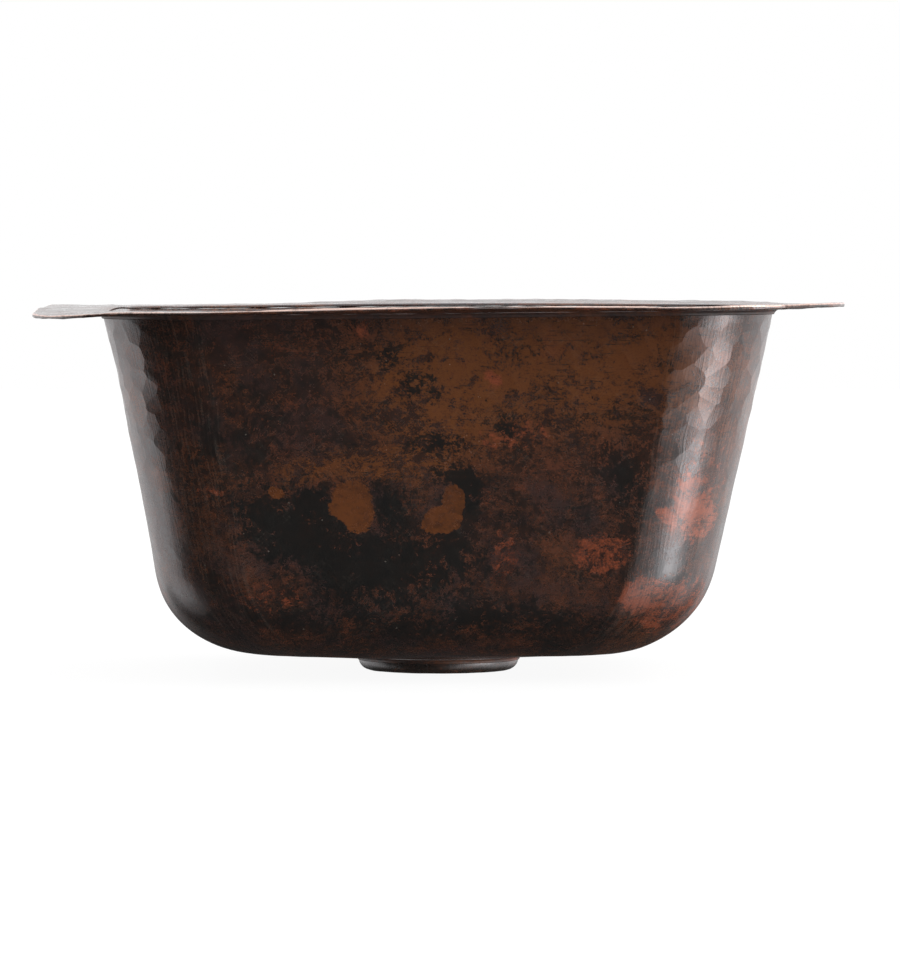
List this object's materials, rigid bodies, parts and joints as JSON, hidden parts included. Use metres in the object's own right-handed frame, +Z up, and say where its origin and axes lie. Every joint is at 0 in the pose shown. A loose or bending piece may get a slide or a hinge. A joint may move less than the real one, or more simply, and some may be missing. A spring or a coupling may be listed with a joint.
{
  "type": "bar sink basin",
  "caption": "Hammered copper bar sink: a tapered basin with rounded corners, a flat mounting flange round its mouth, and a shallow round drain well with a hole underneath.",
  "frame": {"origin": "on the drain's axis, at the underside of the drain well", "axes": "+Z up along the drain's axis, towards the open mouth; +X and +Y square to the sides, with -Y the side that faces the viewer"},
  "size_m": [0.381, 0.381, 0.178],
  "materials": {
    "basin_copper": "hand-hammered copper with a dark fired patina, semi-gloss",
    "flange_copper": "lightly hammered copper, patina worn thin, bare at the edge",
    "well_copper": "copper with a dark fired patina, semi-gloss",
    "braze": "ground braze metal under the same patina"
  },
  "bodies": {
    "root": {"basin": "basin_copper", "flange": "flange_copper", "drain_well": "well_copper", "flange_braze_seam": "braze", "well_braze_seam": "braze"}
  },
  "joints": []
}
